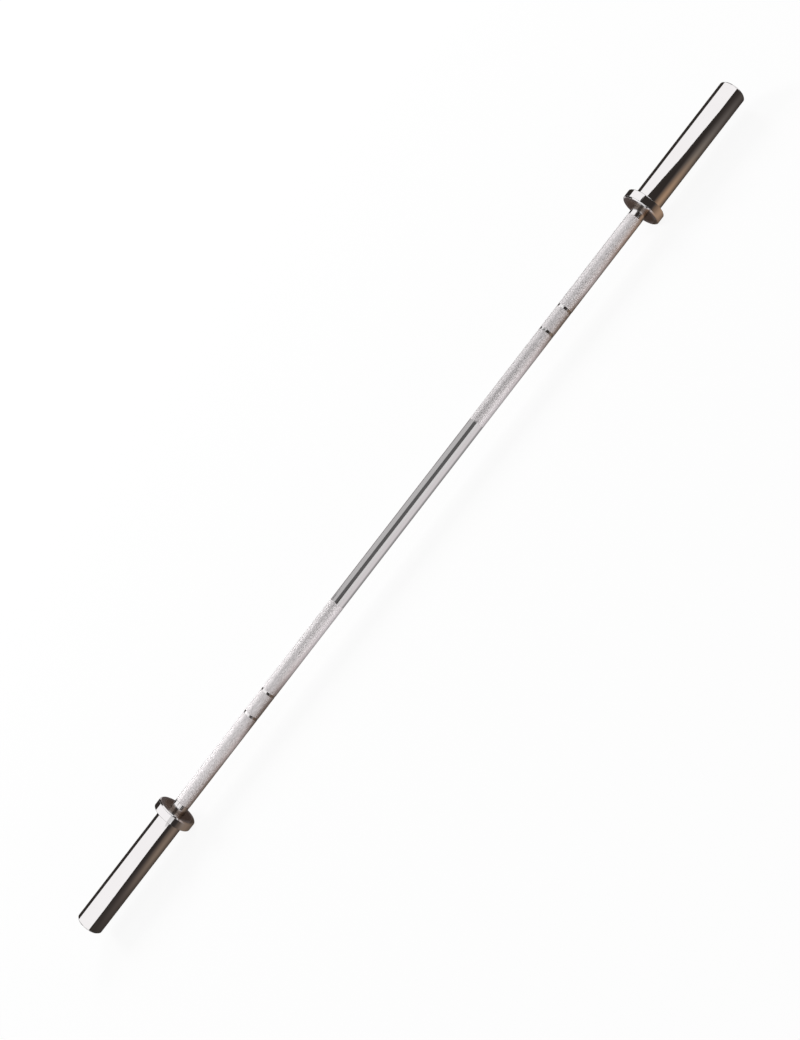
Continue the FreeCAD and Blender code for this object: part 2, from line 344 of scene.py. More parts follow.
# %% Hang the cards over the grip
SHADE_DROP = 0.4 * MM
SHADE_BACK_Y = -0.1
GRIP_SHADE_STRENGTH = 0.1
LEFT_GRIP_SHADE = (
    (-0.92, SHADE_BACK_Y), (-1.18, SHADE_BACK_Y), (-1.18, SKY_INNER_FRONT_Y), (-0.92, SKY_INNER_FRONT_Y))
RIGHT_GRIP_SHADE = ((0.80, SHADE_BACK_Y), (0.80, -1.0), (1.05, -0.73), (1.05, SHADE_BACK_Y))
LEFT_GRIP_CARD = ((-0.84, SKY_BACK_Y), (-1.1, SKY_BACK_Y), (-1.1, 0.3), (-0.84, 0.3))
GRIP_CARD_STRENGTH = 1.5
LEFT_SHOULDER_STRENGTH = 0.12
RIGHT_SHOULDER_STRENGTH = 0.08
MIDDLE_HALF = 0.45
MIDDLE_FRONT_Y = -0.22
MIDDLE_BACK_Y = 6.0
MIDDLE_BACK_HALF = 1.1
MIDDLE_STRENGTH = 0.62
FRONT_CARD_Y = -2.4
FRONT_CARD_HALF = 0.55
FRONT_CARD_TOP = 1.55
FRONT_STRENGTH = 0.85
DIM_STRENGTH = 0.13

hang_card("left_grip_card", overhead(*LEFT_GRIP_CARD, drop=SHADE_DROP), GRIP_CARD_STRENGTH)
hang_card("left_grip_shade", overhead(*LEFT_GRIP_SHADE, drop=SHADE_DROP), GRIP_SHADE_STRENGTH)
hang_card("right_grip_shade", overhead(*RIGHT_GRIP_SHADE, drop=SHADE_DROP), GRIP_SHADE_STRENGTH)
hang_card("left_shoulder_card", overhead(
    (-MIDDLE_HALF, SKY_BACK_Y), (-SKY_INNER_X, SKY_BACK_Y),
    (-SKY_INNER_X, SKY_INNER_FRONT_Y), (-MIDDLE_HALF, SKY_INNER_FRONT_Y)), LEFT_SHOULDER_STRENGTH)
hang_card("right_shoulder_card", overhead(
    (MIDDLE_HALF, SKY_BACK_Y), (MIDDLE_HALF, SKY_INNER_FRONT_Y),
    (SKY_INNER_X, SKY_INNER_FRONT_Y), (SKY_INNER_X, SKY_BACK_Y)), RIGHT_SHOULDER_STRENGTH)
hang_card("middle_sky_card", overhead(
    (-MIDDLE_HALF, SKY_BACK_Y), (-MIDDLE_HALF, MIDDLE_FRONT_Y), (MIDDLE_HALF, MIDDLE_FRONT_Y),
    (MIDDLE_HALF, SKY_BACK_Y), (MIDDLE_BACK_HALF, MIDDLE_BACK_Y), (-MIDDLE_BACK_HALF, MIDDLE_BACK_Y)),
    MIDDLE_STRENGTH)
hang_card("dim_card", [
    (-MIDDLE_HALF, FRONT_CARD_Y, FRONT_CARD_TOP), (MIDDLE_HALF, FRONT_CARD_Y, FRONT_CARD_TOP),
    (MIDDLE_HALF, MIDDLE_FRONT_Y, CARD_HEIGHT), (-MIDDLE_HALF, MIDDLE_FRONT_Y, CARD_HEIGHT)], DIM_STRENGTH)
hang_card("front_card", [
    (-FRONT_CARD_HALF, FRONT_CARD_Y, floor_z), (FRONT_CARD_HALF, FRONT_CARD_Y, floor_z),
    (FRONT_CARD_HALF, FRONT_CARD_Y, FRONT_CARD_TOP), (-FRONT_CARD_HALF, FRONT_CARD_Y, FRONT_CARD_TOP)],
    FRONT_STRENGTH)

# %% [markdown]
# The flat faces look along the bar, so they mirror what stands beyond its ends and what lies on the floor
# beside the collars. Each end gets an upright card and a pale pad for the caps and rims, and a brown pad
# for the grip side of its collar. They could be lit by a lamp, but a lamp would show in them as a hard
# bright spot.

# %% Stand the end cards and lay the pads
SIDES = {"left": -1, "right": 1}
PAD_LIFT = 0.4 * MM
PAD_STRENGTH = 0.8
END_PAD_NEAR_X = 1.02
END_PAD_NEAR_HALF = 0.12
END_PAD_FAR_X = 2.4
END_PAD_FAR_HALF = 0.4
END_CARD_X = 3.4
END_CARD_FRONT_Y = -1.2
END_CARD_BACK_Y = 4.5
END_CARD_FOOT = 0.1
END_CARD_TOP = 1.8
END_CARD_STRENGTH = 0.85
COLLAR_PAD_COLOUR = (0.16, 0.132, 0.125, 1.0)
COLLAR_PAD_INNER_X = 0.60
COLLAR_PAD_OUTER_X = 0.66
COLLAR_PAD_DEPTH = 0.16


def on_floor(*corners):
    """Corners given as (x, y), just over the mat."""
    return [(x, y, floor_z + PAD_LIFT) for x, y in corners]


for side_name, side in SIDES.items():
    near_x = side * END_PAD_NEAR_X
    far_x = side * END_PAD_FAR_X
    hang_card(f"{side_name}_end_pad", on_floor(
        (near_x, -END_PAD_NEAR_HALF), (near_x, END_PAD_NEAR_HALF),
        (far_x, END_PAD_FAR_HALF), (far_x, -END_PAD_FAR_HALF)), PAD_STRENGTH)
    card_x = side * END_CARD_X
    hang_card(f"{side_name}_end_card", [
        (card_x, END_CARD_FRONT_Y, END_CARD_FOOT), (card_x, END_CARD_BACK_Y, END_CARD_FOOT),
        (card_x, END_CARD_BACK_Y, END_CARD_TOP), (card_x, END_CARD_FRONT_Y, END_CARD_TOP)], END_CARD_STRENGTH)
    inner_x = side * COLLAR_PAD_INNER_X
    outer_x = side * COLLAR_PAD_OUTER_X
    hang_card(f"{side_name}_collar_pad", on_floor(
        (outer_x, 0.0), (inner_x, 0.0), (inner_x, COLLAR_PAD_DEPTH), (outer_x, COLLAR_PAD_DEPTH)),
        PAD_STRENGTH, COLLAR_PAD_COLOUR)

# %% [markdown]
# Dark cloth closes the rest of the room, so that the chrome has something dark to set its stripes
# against. The room itself could turn dark for mirrors, but cloth can be taken away again, which leaves a
# plain white room for any other object. It is a sphere, because a box would draw its corners into the
# chrome.

# %% Close the room with cloth
CLOTH_COLOUR = (0.036, 0.030, 0.027, 1.0)
CLOTH_STRENGTH = 1.0
CLOTH_RADIUS = 7.0
CLOTH_SEGMENTS = 32

bm = bmesh.new()
bmesh.ops.create_uvsphere(bm, u_segments=CLOTH_SEGMENTS, v_segments=CLOTH_SEGMENTS // 2, radius=CLOTH_RADIUS)
cloth = new_object("dark_cloth", bm)
cloth.data.materials.append(new_glow("dark cloth", CLOTH_COLOUR, CLOTH_STRENGTH)[0])
for_mirror_rays_only(cloth)
print("cloth:", len(cloth.data.polygons), "faces")

# %% [markdown]
# ## A mat for the underside
#
# The underside of the bar mirrors what it lies on. In the picture that is pale under the middle, brown
# close to the collars and dark under the ends, and it is dark right below the bar. A mat on the floor
# gives the chrome this view. Several small cards would leave hard borders, so it is one mat with three
# colour ramps along the bar: one for the strip near it, one for what lies further out, and one for the
# shade below it.

# %% Colours along the mat
MAT_DARK = (0.048, 0.040, 0.036)
MAT_PALE = (0.830, 0.790, 0.800)
FAR_BROWN = (0.120, 0.085, 0.065)
SHADE_BROWN = (0.085, 0.066, 0.053)
SHADE_GREY = (0.300, 0.290, 0.290)
WARM_PALE = (0.600, 0.520, 0.500)
KNURL_PALE = (0.700, 0.620, 0.600)
COLLAR_TAN = (0.400, 0.320, 0.280)
LEFT_MARK_BROWN = (0.170, 0.120, 0.090)
RIGHT_MARK_BROWN = (0.250, 0.180, 0.130)
NEAR_COLOURS = (
    (-0.94, MAT_DARK),
    (-0.85, (0.100, 0.080, 0.070)),
    (-0.75, (0.250, 0.188, 0.143)),
    (-0.60, (0.240, 0.178, 0.140)),
    (-0.56, COLLAR_TAN),
    (-0.52, KNURL_PALE),
    (-0.50, KNURL_PALE),
    (-0.465, LEFT_MARK_BROWN),
    (-0.40, LEFT_MARK_BROWN),
    (-0.36, WARM_PALE),
    (-0.26, MAT_PALE),
    (0.26, MAT_PALE),
    (0.36, WARM_PALE),
    (0.40, RIGHT_MARK_BROWN),
    (0.465, RIGHT_MARK_BROWN),
    (0.50, KNURL_PALE),
    (0.52, KNURL_PALE),
    (0.56, COLLAR_TAN),
    (0.60, (0.420, 0.290, 0.210)),
    (0.72, (0.430, 0.280, 0.178)),
    (0.805, (0.222, 0.185, 0.155)),
    (0.86, (0.145, 0.126, 0.114)),
    (0.98, MAT_DARK),
)
FAR_COLOURS = (
    (-0.70, MAT_DARK),
    (-0.64, MAT_PALE),
    (-0.57, MAT_PALE),
    (-0.53, FAR_BROWN),
    (-0.41, FAR_BROWN),
    (-0.34, MAT_PALE),
    (0.37, MAT_PALE),
    (0.43, FAR_BROWN),
    (0.51, FAR_BROWN),
    (0.55, MAT_PALE),
    (0.60, MAT_PALE),
    (0.68, MAT_DARK),
)
SHADE_COLOURS = (
    (-0.93, MAT_DARK),
    (-0.75, SHADE_BROWN),
    (-0.42, SHADE_BROWN),
    (-0.30, SHADE_GREY),
    (0.30, SHADE_GREY),
    (0.42, SHADE_BROWN),
    (0.75, SHADE_BROWN),
    (0.93, MAT_DARK),
)
print("colour stops:", len(NEAR_COLOURS) + len(FAR_COLOURS) + len(SHADE_COLOURS))

# %% [markdown]
# Two more ramps run across the bar. One says how much of the near strip shows, and the other how dark it
# is right below. A colour ramp runs from nought to one, so a small helper takes its stops at real places
# instead. The colours could also be painted on the corners of a fine grid, but a ramp needs only one
# face.

# %% Lay the mat that the underside mirrors
MAT_LIFT = 0.2 * MM
MAT_HALF_LENGTH = 1.2
MAT_STRENGTH = 1.0
NEAR_STRIP = (
    (-0.60, 0.05),
    (-0.19, 0.28),
    (-0.10, 0.58),
    (-0.055, 1.0),
    (-0.02, 1.0),
    (0.02, 0.0),
)
UNDER_BAR = ((-0.044, 0.0), (-0.014, 1.0), (0.012, 1.0), (0.04, 0.0))


def ramp_along(tree, value, stops):
    """A ramp over a length in metres, with its stops given at real places."""
    spread = tree.nodes.new("ShaderNodeMapRange")
    spread.inputs["From Min"].default_value = -MAT_HALF_LENGTH
    spread.inputs["From Max"].default_value = MAT_HALF_LENGTH
    tree.links.new(value, spread.inputs["Value"])
    ramp = tree.nodes.new("ShaderNodeValToRGB")
    ramp.color_ramp.interpolation = "LINEAR"
    elements = ramp.color_ramp.elements
    for number, (place, colour) in enumerate(stops):
        position = (place + MAT_HALF_LENGTH) / (2 * MAT_HALF_LENGTH)
        stop = elements[number] if number < len(elements) else elements.new(position)
        stop.position = position
        stop.color = (*colour, 1.0) if isinstance(colour, tuple) else (colour, colour, colour, 1.0)
    tree.links.new(spread.outputs["Result"], ramp.inputs["Fac"])
    return ramp.outputs["Color"]


def mix_ramps(tree, share, first, second):
    """Mixes two colours by a share."""
    mix = tree.nodes.new("ShaderNodeMix")
    mix.data_type = "RGBA"
    tree.links.new(share, mix.inputs["Factor"])
    tree.links.new(first, mix.inputs["A"])
    tree.links.new(second, mix.inputs["B"])
    return mix.outputs["Result"]


mat_finish, tree, mat_glow = new_glow("mat for reflections", WHITE, MAT_STRENGTH)
mat_place = tree.nodes.new("ShaderNodeTexCoord")
mat_axes = tree.nodes.new("ShaderNodeSeparateXYZ")
tree.links.new(mat_place.outputs["Object"], mat_axes.inputs[0])
mat_x = mat_axes.outputs["X"]
mat_y = mat_axes.outputs["Y"]
open_mat = mix_ramps(
    tree, ramp_along(tree, mat_y, NEAR_STRIP),
    ramp_along(tree, mat_x, FAR_COLOURS), ramp_along(tree, mat_x, NEAR_COLOURS))
whole_mat = mix_ramps(
    tree, ramp_along(tree, mat_y, UNDER_BAR), open_mat, ramp_along(tree, mat_x, SHADE_COLOURS))
tree.links.new(whole_mat, mat_glow.inputs["Color"])

bm = bmesh.new()
bmesh.ops.create_grid(bm, x_segments=1, y_segments=1, size=CLOTH_RADIUS)
bmesh.ops.translate(bm, verts=bm.verts[:], vec=(0.0, 0.0, floor_z + MAT_LIFT))
mat = new_object("reflection_mat", bm)
mat.data.materials.append(mat_finish)
for_mirror_rays_only(mat)
print("mat:", len(tree.nodes), "nodes")

# %% [markdown]
# ## Finishes
#
# Every finish is a metal, apart from the rubber seal, so most of what the eye reads is how it was
# polished, wiped or scratched. Photographs of metal could be laid over the pieces, but they stretch and
# repeat. Here each finish is one Principled shader, fed by noise in Object coordinates, which stay with
# the piece when it moves. The first is the chrome of the sleeves. Hands leave faint smudges on it, so a
# soft noise mixes two greys.

# %% Sleeve chrome with smudges
SMUDGED_CHROME = (0.74, 0.73, 0.73)
WIPED_CHROME = (0.78, 0.77, 0.775)


def new_finish(name, metallic=1.0):
    """A material with its Principled shader."""
    finish = bpy.data.materials.new(name)
    finish.use_nodes = True
    finish.node_tree.nodes["Principled BSDF"].inputs["Metallic"].default_value = metallic
    return finish


def noise(finish, scale, stretch=(1.0, 1.0, 1.0), detail=2.0):
    """A noise on Object coordinates, larger along an axis whose stretch is small."""
    tree = finish.node_tree
    place = tree.nodes.new("ShaderNodeTexCoord")
    mapping = tree.nodes.new("ShaderNodeMapping")
    mapping.inputs["Scale"].default_value = stretch
    texture = tree.nodes.new("ShaderNodeTexNoise")
    texture.inputs["Scale"].default_value = scale
    texture.inputs["Detail"].default_value = detail
    tree.links.new(place.outputs["Object"], mapping.inputs["Vector"])
    tree.links.new(mapping.outputs["Vector"], texture.inputs["Vector"])
    return texture.outputs["Fac"]


def tint(finish, share, first, second):
    """Sets the base colour to a mix of two colours."""
    tree = finish.node_tree
    mix = tree.nodes.new("ShaderNodeMix")
    mix.data_type = "RGBA"
    mix.inputs["A"].default_value = (*first, 1.0)
    mix.inputs["B"].default_value = (*second, 1.0)
    tree.links.new(share, mix.inputs["Factor"])
    tree.links.new(mix.outputs["Result"], tree.nodes["Principled BSDF"].inputs["Base Color"])


def tell(finish):
    """Says how many nodes a finish has."""
    print(f"{finish.name}: {len(finish.node_tree.nodes)} nodes")


sleeve_chrome = new_finish("sleeve chrome")
smudges = noise(sleeve_chrome, scale=22.0, detail=5.0)
tint(sleeve_chrome, smudges, SMUDGED_CHROME, WIPED_CHROME)
tell(sleeve_chrome)

# %% [markdown]
# Plates slide along a sleeve and leave hairline scratches. One roughness for the whole sleeve would be
# simpler, but it would look like glass. Two noises are added up instead: the smudges, and one that is
# stretched along the bar until it turns to lines.

# %% Smudges and hairlines roughen the sleeve chrome
ALONG = (0.004, 1.0, 1.0)


def remap(finish, value, span, to):
    """The part of a value inside a span, spread over another range."""
    tree = finish.node_tree
    spread = tree.nodes.new("ShaderNodeMapRange")
    spread.inputs["From Min"].default_value, spread.inputs["From Max"].default_value = span
    spread.inputs["To Min"].default_value, spread.inputs["To Max"].default_value = to
    tree.links.new(value, spread.inputs["Value"])
    return spread.outputs["Result"]


def combine(finish, operation, first, second):
    """Two values put together by one sum."""
    tree = finish.node_tree
    sum_node = tree.nodes.new("ShaderNodeMath")
    sum_node.operation = operation
    tree.links.new(first, sum_node.inputs[0])
    tree.links.new(second, sum_node.inputs[1])
    return sum_node.outputs[0]


def set_roughness(finish, value):
    """Lets a value drive the roughness."""
    tree = finish.node_tree
    tree.links.new(value, tree.nodes["Principled BSDF"].inputs["Roughness"])


hairlines = noise(sleeve_chrome, scale=900.0, stretch=ALONG, detail=3.0)
set_roughness(sleeve_chrome, combine(
    sleeve_chrome, "ADD",
    remap(sleeve_chrome, smudges, span=(0.35, 0.75), to=(0.02, 0.05)),
    remap(sleeve_chrome, hairlines, span=(0.62, 0.75), to=(0.0, 0.03))))
tell(sleeve_chrome)

# %% [markdown]
# A sleeve is polished on a soft wheel before it is plated, and that leaves it slightly wavy, which is why
# the border between light and dark is never quite straight. Moving the faces themselves would take very
# many of them, so a broad bump bends only the reflections. A second, far finer one lets the hairlines
# catch the light.

# %% Waves and hairlines in the surface
WAVE_DEPTH = 0.12 * MM
HAIRLINE_DEPTH = 0.0015 * MM


def add_bump(finish, height, depth):
    """Adds a bump of that depth in metres, on top of any bump already there."""
    tree = finish.node_tree
    normal = tree.nodes["Principled BSDF"].inputs["Normal"]
    bump = tree.nodes.new("ShaderNodeBump")
    bump.inputs["Distance"].default_value = depth
    tree.links.new(height, bump.inputs["Height"])
    if normal.is_linked:
        tree.links.new(normal.links[0].from_socket, bump.inputs["Normal"])
    tree.links.new(bump.outputs["Normal"], normal)


add_bump(sleeve_chrome, noise(sleeve_chrome, scale=24.0), WAVE_DEPTH)
add_bump(sleeve_chrome, hairlines, HAIRLINE_DEPTH)
tell(sleeve_chrome)

# %% [markdown]
# The shaft is plated too, but it was ground between centres and not polished, so its smooth stretches
# keep very fine rings round the bar. They could be modelled, but they are only thousandths of a
# millimetre deep, so a noise squeezed along the bar is enough.

# %% Shaft chrome
AROUND = (1.0, 0.01, 0.01)
HANDLED_CHROME = (0.71, 0.70, 0.70)
GROUND_CHROME = (0.76, 0.75, 0.755)
GRIND_DEPTH = 0.003 * MM

shaft_chrome = new_finish("shaft chrome")
grind_rings = noise(shaft_chrome, scale=1400.0, stretch=AROUND, detail=3.0)
handling = noise(shaft_chrome, scale=30.0, detail=4.0)
tint(shaft_chrome, handling, HANDLED_CHROME, GROUND_CHROME)
set_roughness(shaft_chrome, combine(
    shaft_chrome, "ADD",
    remap(shaft_chrome, handling, span=(0.35, 0.7), to=(0.05, 0.11)),
    remap(shaft_chrome, grind_rings, span=(0.4, 0.8), to=(0.0, 0.06))))
add_bump(shaft_chrome, grind_rings, GRIND_DEPTH)
tell(shaft_chrome)

# %% [markdown]
# ## Turned pieces
#
# Sleeves, collars, caps and the shaft itself come off a lathe, so each one is an outline turned about the
# bar. The outline has only the corners of the real profile. Rounding those corners first, as a turner
# breaks every edge, costs a few points and gives each rim its bright line. A bevel after the turn would
# do the same to thousands of edges. Weighted normals keep the long walls true next to their tiny rounded
# rims.

# %% A lathe in a few lines
TURN_STEPS = 160
MERGE_DISTANCE = 0.001 * MM
BROKEN_EDGE = 0.3 * MM
EDGE_STEPS = 3
WALL_WEIGHT = 50


def turned_piece(name, outline, edge=BROKEN_EDGE, closed=True):
    """Turns an outline of (x, radius) about the bar. An open outline starts and ends on the axis."""
    bm = bmesh.new()
    corners = [bm.verts.new((x, 0.0, radius)) for x, radius in outline]
    followers = corners[1:] + corners[:1] if closed else corners[1:]
    for corner, follower in zip(corners, followers):
        bm.edges.new((corner, follower))
    off_axis = [corner for corner in corners if corner.co.z > MERGE_DISTANCE]
    bmesh.ops.bevel(bm, geom=off_axis, offset=edge, offset_type="OFFSET", segments=EDGE_STEPS, profile=0.5,
                    affect="VERTICES", clamp_overlap=True, material=-1)
    bmesh.ops.spin(bm, geom=bm.verts[:] + bm.edges[:], cent=(0.0, 0.0, 0.0), axis=along_bar,
                   angle=math.tau, steps=TURN_STEPS, use_merge=True)
    bmesh.ops.remove_doubles(bm, verts=bm.verts[:], dist=MERGE_DISTANCE)
    bmesh.ops.recalc_face_normals(bm, faces=bm.faces[:])
    for face in bm.faces:
        face.smooth = True
    piece = new_object(name, bm)
    true_walls = piece.modifiers.new("true walls", "WEIGHTED_NORMAL")
    true_walls.weight = WALL_WEIGHT
    return piece


def on_side(side, outline):
    """An outline of the right end, or its mirror for the left end."""
    return [(side * x, radius) for x, radius in outline]


print(f"each flat stands {1 - math.cos(math.pi / TURN_STEPS):.5f} of its radius inside the true circle")

# %% [markdown]
# ## Sleeves
#
# A sleeve is a thick tube. Its outer end has a 45 degree lead for plates, its mouth is bored for the end
# cap, and at the other end a cone seats it in the collar. A plain cylinder would look the same from afar.
# The inside is turned as well, because an end view looks into the mouth, and because the bushes sit
# there.

# %% Turn the sleeve tubes
BUSH_RADIUS = 15.0 * MM
FLANGE_RADIUS = 17.0 * MM
FLANGE_SEAT = 5.2 * MM
OUTER_FLANGE_SEAT = 19.9 * MM
CAP_BORE_RADIUS = 18.5 * MM
CAP_GROOVE_RADIUS = 19.5 * MM
CAP_SEAT_INSET = 7.5 * MM
CAP_GROOVE_BACK_INSET = 3.5 * MM
CAP_GROOVE_FRONT_INSET = 2.0 * MM
MOUTH_CHAMFER = 0.8 * MM
SLEEVE_CHAMFER = 2.0 * MM
COLLAR_SEAT_RADIUS = 23.0 * MM

tube_low, tube_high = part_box("right_sleeve_tube")
sleeve_radius = tube_high.z
sleeve_end_x = tube_high.x
tube_start_x = tube_low.x
plate_stop_x = collar_high.x
collar_seat_end_x = plate_stop_x - (sleeve_radius - COLLAR_SEAT_RADIUS)

tube_outline = [
    (tube_start_x, FLANGE_RADIUS),
    (tube_start_x + FLANGE_SEAT, FLANGE_RADIUS),
    (tube_start_x + FLANGE_SEAT, BUSH_RADIUS),
    (sleeve_end_x - OUTER_FLANGE_SEAT, BUSH_RADIUS),
    (sleeve_end_x - OUTER_FLANGE_SEAT, FLANGE_RADIUS),
    (sleeve_end_x - CAP_SEAT_INSET, FLANGE_RADIUS),
    (sleeve_end_x - CAP_SEAT_INSET, CAP_BORE_RADIUS),
    (sleeve_end_x - CAP_GROOVE_BACK_INSET, CAP_BORE_RADIUS),
    (sleeve_end_x - CAP_GROOVE_BACK_INSET, CAP_GROOVE_RADIUS),
    (sleeve_end_x - CAP_GROOVE_FRONT_INSET, CAP_GROOVE_RADIUS),
    (sleeve_end_x - CAP_GROOVE_FRONT_INSET, CAP_BORE_RADIUS),
    (sleeve_end_x - MOUTH_CHAMFER, CAP_BORE_RADIUS),
    (sleeve_end_x, CAP_BORE_RADIUS + MOUTH_CHAMFER),
    (sleeve_end_x, sleeve_radius - SLEEVE_CHAMFER),
    (sleeve_end_x - SLEEVE_CHAMFER, sleeve_radius),
    (plate_stop_x, sleeve_radius),
    (collar_seat_end_x, COLLAR_SEAT_RADIUS),
    (tube_start_x, COLLAR_SEAT_RADIUS),
]
for side_name, side in SIDES.items():
    tube = turned_piece(f"{side_name}_sleeve", on_side(side, tube_outline))
    tube.data.materials.append(sleeve_chrome)
    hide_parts(f"{side_name}_sleeve_tube")
    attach(tube, f"{side_name}_sleeve")
    skip_lamps(tube)
    print(tube.name, len(tube.data.polygons), "faces")

# %% [markdown]
# ## Collars
#
# A collar's rim is polished like the sleeve. Its faces keep the fine circles that the tool left, which
# draw each reflection out towards and away from the axis. An anisotropic shader could do this, but it
# would smear the rim too. One noise over one number, the distance from the axis, gives the circles and
# leaves the rim clean. The same distance places a brown, rougher band round the bore. The brown is
# painted reflection: it stands in for the warm, blurred brown that these faces mirror.

# %% Collar chrome
BROWN_INSIDE = 26.0 * MM
BROWN_OUTSIDE = 36.0 * MM
BROWN_UNEVEN = 1.5 * MM
PAINTED_FACE_BROWN = (0.25, 0.18, 0.135)
BRIGHT_COLLAR_CHROME = (0.76, 0.75, 0.755)
FACE_RING_SCALE = 3000.0
FACE_RING_DETAIL = 3.0
FACE_RING_DEPTH = 0.012 * MM


def from_axis(finish):
    """The distance from the bar's axis, which runs along X through the origin."""
    tree = finish.node_tree
    place = tree.nodes.new("ShaderNodeTexCoord")
    across_bar = tree.nodes.new("ShaderNodeVectorMath")
    across_bar.operation = "MULTIPLY"
    across_bar.inputs[1].default_value = (0.0, 1.0, 1.0)
    tree.links.new(place.outputs["Object"], across_bar.inputs[0])
    distance = tree.nodes.new("ShaderNodeVectorMath")
    distance.operation = "LENGTH"
    tree.links.new(across_bar.outputs["Vector"], distance.inputs[0])
    return distance.outputs["Value"]


def face_rings(finish, scale):
    """Fine circles round the axis, as a tool leaves on a turned face."""
    tree = finish.node_tree
    rings = tree.nodes.new("ShaderNodeTexNoise")
    rings.noise_dimensions = "1D"
    rings.inputs["Scale"].default_value = scale
    rings.inputs["Detail"].default_value = FACE_RING_DETAIL
    tree.links.new(from_axis(finish), rings.inputs["W"])
    return rings.outputs["Fac"]


collar_chrome = new_finish("collar chrome")
collar_smudges = noise(collar_chrome, scale=30.0, detail=5.0)
brown_noise = noise(collar_chrome, scale=120.0, detail=4.0)
brown_wander = remap(collar_chrome, brown_noise, span=(0.3, 0.7), to=(-BROWN_UNEVEN, BROWN_UNEVEN))
brown_edge = combine(collar_chrome, "ADD", from_axis(collar_chrome), brown_wander)
bright_share = remap(collar_chrome, brown_edge, span=(BROWN_INSIDE, BROWN_OUTSIDE), to=(0.0, 1.0))
# Painted reflection: the brown round the bore stands in for the warm, blurred brown that the faces mirror.
tint(collar_chrome, bright_share, PAINTED_FACE_BROWN, BRIGHT_COLLAR_CHROME)
set_roughness(collar_chrome, combine(
    collar_chrome, "ADD",
    remap(collar_chrome, collar_smudges, span=(0.35, 0.75), to=(0.02, 0.05)),
    remap(collar_chrome, bright_share, span=(0.0, 1.0), to=(0.26, 0.0))))
add_bump(collar_chrome, face_rings(collar_chrome, FACE_RING_SCALE), FACE_RING_DEPTH)
tell(collar_chrome)

# %% [markdown]
# The collar itself is a disc with a wide chamfer towards the grip and a small one towards the plates. Its
# lip closes on the shaft with half a millimetre to spare, and holds the dust seal in a groove. It could
# be cut from a cylinder with booleans, but the same lathe makes it in one turn and leaves no torn edges.

# %% Turn the collars
LIP_BORE_RADIUS = 14.5 * MM
SEAL_GROOVE_RADIUS = 16.15 * MM
SEAL_GROOVE_HALF = 1.2 * MM
SEAL_INSET = 3.0 * MM
GRIP_SIDE_CHAMFER = 2.0 * MM
PLATE_SIDE_CHAMFER = 1.0 * MM
COLLAR_EDGE = 0.4 * MM

collar_face_x = collar_low.x
collar_radius = collar_high.z
seal_x = collar_face_x + SEAL_INSET
collar_outline = [
    (collar_face_x, LIP_BORE_RADIUS),
    (seal_x - SEAL_GROOVE_HALF, LIP_BORE_RADIUS),
    (seal_x - SEAL_GROOVE_HALF, SEAL_GROOVE_RADIUS),
    (seal_x + SEAL_GROOVE_HALF, SEAL_GROOVE_RADIUS),
    (seal_x + SEAL_GROOVE_HALF, LIP_BORE_RADIUS),
    (tube_start_x, LIP_BORE_RADIUS),
    (tube_start_x, COLLAR_SEAT_RADIUS),
    (collar_seat_end_x, COLLAR_SEAT_RADIUS),
    (plate_stop_x, sleeve_radius),
    (plate_stop_x, collar_radius - PLATE_SIDE_CHAMFER),
    (plate_stop_x - PLATE_SIDE_CHAMFER, collar_radius),
    (collar_face_x + GRIP_SIDE_CHAMFER, collar_radius),
    (collar_face_x, collar_radius - GRIP_SIDE_CHAMFER),
]
for side_name, side in SIDES.items():
    collar = turned_piece(f"{side_name}_collar", on_side(side, collar_outline), COLLAR_EDGE)
    collar.data.materials.append(collar_chrome)
    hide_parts(f"{side_name}_sleeve_collar")
    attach(collar, f"{side_name}_sleeve")
    skip_lamps(collar)
    print(collar.name, len(collar.data.polygons), "faces")

# %% [markdown]
# ## The shaft
#
# The shaft is smooth in the middle, knurled for the hands, and parted by two narrow smooth ring marks on
# each side. The knurl is rolled into the steel, so here the shaft gets a shallow neck wherever the knurl
# will lie, and the knurled skins are made as pieces of their own. One mesh for everything would pass the
# number of faces that a piece should have.

# %% Turn the shaft
GRIP_RADIUS = 14.0 * MM
NECK_RADIUS = 13.5 * MM
SPIGOT_RADIUS = 12.5 * MM
SNAP_GROOVE_RADIUS = 11.95 * MM
CENTRE_SMOOTH_HALF = 198.0 * MM
INNER_KNURL = 195.0 * MM
MIDDLE_KNURL = 45.0 * MM
RING_MARK = 5.0 * MM
END_SMOOTH = 16.0 * MM
SNAP_GROOVE_BACK_INSET = 5.2 * MM
SNAP_GROOVE_FRONT_INSET = 4.0 * MM
TIP_CHAMFER = 1.0 * MM
SHAFT_EDGE = 0.15 * MM

shaft_end_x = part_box("shaft")[1].x
shoulder_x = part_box("right_inner_thrust_washer")[0].x
knurl_end_x = collar_face_x - END_SMOOTH
first_mark_x = CENTRE_SMOOTH_HALF + INNER_KNURL
second_mark_x = first_mark_x + RING_MARK + MIDDLE_KNURL
knurl_bands = {
    "inner": (CENTRE_SMOOTH_HALF, first_mark_x),
    "middle": (first_mark_x + RING_MARK, second_mark_x),
    "outer": (second_mark_x + RING_MARK, knurl_end_x),
}
right_half = []
for start_x, end_x in knurl_bands.values():
    right_half += [(start_x, GRIP_RADIUS), (start_x, NECK_RADIUS), (end_x, NECK_RADIUS), (end_x, GRIP_RADIUS)]
right_half += [
    (shoulder_x, GRIP_RADIUS),
    (shoulder_x, SPIGOT_RADIUS),
    (shaft_end_x - SNAP_GROOVE_BACK_INSET, SPIGOT_RADIUS),
    (shaft_end_x - SNAP_GROOVE_BACK_INSET, SNAP_GROOVE_RADIUS),
    (shaft_end_x - SNAP_GROOVE_FRONT_INSET, SNAP_GROOVE_RADIUS),
    (shaft_end_x - SNAP_GROOVE_FRONT_INSET, SPIGOT_RADIUS),
    (shaft_end_x - TIP_CHAMFER, SPIGOT_RADIUS),
    (shaft_end_x, SPIGOT_RADIUS - TIP_CHAMFER),
    (shaft_end_x, 0.0),
]
shaft = turned_piece("shaft_core", on_side(-1, right_half[::-1]) + right_half, SHAFT_EDGE, closed=False)
